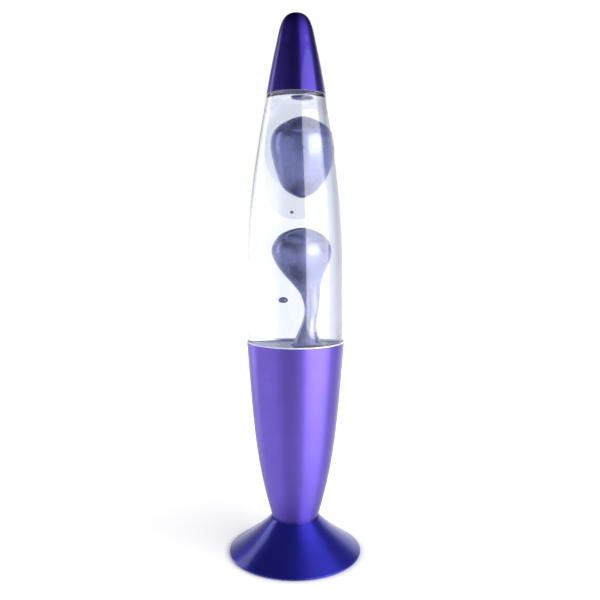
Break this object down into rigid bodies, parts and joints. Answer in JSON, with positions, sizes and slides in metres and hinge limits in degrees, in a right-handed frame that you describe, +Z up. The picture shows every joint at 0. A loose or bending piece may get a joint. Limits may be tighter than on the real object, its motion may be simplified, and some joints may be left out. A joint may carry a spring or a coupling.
{
  "type": "lava lamp",
  "caption": "Slender lava lamp: conical foot, flared metal cup, tapered glass bottle of clear liquid with floating wax, conical cap; reflector bulb and screw lampholder inside the cup.",
  "frame": {"origin": "middle of the foot, on the table the lamp stands on", "axes": "+Z up the bottle's axis, -Y toward the viewer, the cord inlet is at +Y"},
  "size_m": [0.1018, 0.1018, 0.406],
  "materials": {
    "foot_lacquer": "violet metallic lacquer, gloss",
    "cup_lacquer": "violet metallic lacquer, satin",
    "cap_lacquer": "deep violet metallic lacquer, gloss",
    "bottle_glass": "clear, polished",
    "liquid": "clear liquid, faint lavender",
    "wax": "pearly lavender, satin",
    "coil_steel": "bright wire",
    "crown_tinplate": "bright tinplate",
    "liner": "matte",
    "rubber": "matte",
    "zinc_steel": "zinc plated",
    "brass": "bright",
    "black_moulding": "phenolic moulding, satin",
    "white_ceramic": "unglazed, matte",
    "solder": "soft solder, dull",
    "black_glass": "opaque black glass, gloss",
    "bulb_cap_metal": "bright",
    "bulb_envelope": "glass silvered inside, frosted front",
    "stem_glass": "clear",
    "filament": "drawn tungsten and nickel wire"
  },
  "bodies": {
    "base": {"foot_skirt": "foot_lacquer", "cord_grommet": "rubber", "base_plate": "zinc_steel", "rubber_foot_1": "rubber", "rubber_foot_2": "rubber", "rubber_foot_3": "rubber", "rubber_foot_4": "rubber", "cup_shell": "cup_lacquer", "threaded_tube": "brass", "earth_tag": "brass", "lock_washer": "zinc_steel", "hex_nut": "zinc_steel", "holder_dome": "black_moulding", "holder_skirt": "black_moulding", "holder_insert": "white_ceramic", "holder_screw_shell": "brass", "holder_centre_contact": "brass", "terminal_screw_1": "zinc_steel", "terminal_screw_2": "zinc_steel"},
    "bottle": {"glass_bottle": "bottle_glass", "wax_pool_and_column": "wax", "wax_floating": "wax", "clear_liquid": "liquid", "wire_coil": "coil_steel", "crown_cap": "crown_tinplate", "crown_liner": "liner"},
    "cap": {"cap_shell": "cap_lacquer"},
    "wax_upper": {"wax_lump_upper": "wax"},
    "drop_large": {"wax_drop_large": "wax"},
    "drop_small": {"wax_drop_small": "wax"},
    "bulb_tip": {"bulb_contact": "solder", "bulb_insulator": "black_glass"},
    "bulb": {"bulb_screw_cap": "bulb_cap_metal", "bulb_glass": "bulb_envelope", "bulb_stem": "stem_glass", "bulb_filament": "filament"}
  },
  "joints": [
    {"name": "bottle_lift", "type": "slide", "parent": "base", "child": "bottle", "axis": [0, 0, 1], "range_m": [0, 0.06]},
    {"name": "cap_lift", "type": "slide", "parent": "bottle", "child": "cap", "axis": [0, 0, 1], "range_m": [0, 0.06]},
    {"name": "upper_lump_drift", "type": "slide", "parent": "bottle", "child": "wax_upper", "axis": [0, 0, 1], "range_m": [-0.018, 0.01], "deforming": ["clear_liquid"]},
    {"name": "large_drop_drift", "type": "slide", "parent": "bottle", "child": "drop_large", "axis": [0, 0, 1], "range_m": [-0.02, 0.05], "deforming": ["clear_liquid"]},
    {"name": "small_drop_drift", "type": "slide", "parent": "bottle", "child": "drop_small", "axis": [0, 0, 1], "range_m": [-0.06, 0.03], "deforming": ["clear_liquid"]},
    {"name": "bulb_lift", "type": "slide", "parent": "base", "child": "bulb_tip", "axis": [0, 0, 1], "range_m": [0, 0.0113]},
    {"name": "bulb_turn", "type": "hinge", "parent": "bulb_tip", "child": "bulb", "pos_m": [0, 0, 0.05], "axis": [0, 0, 1], "range_deg": [0, 1440]}
  ],
  "couplings": [
    {"joint": "bulb_lift", "follows": "bulb_turn", "m_per_rad": 0.00044882}
  ]
}
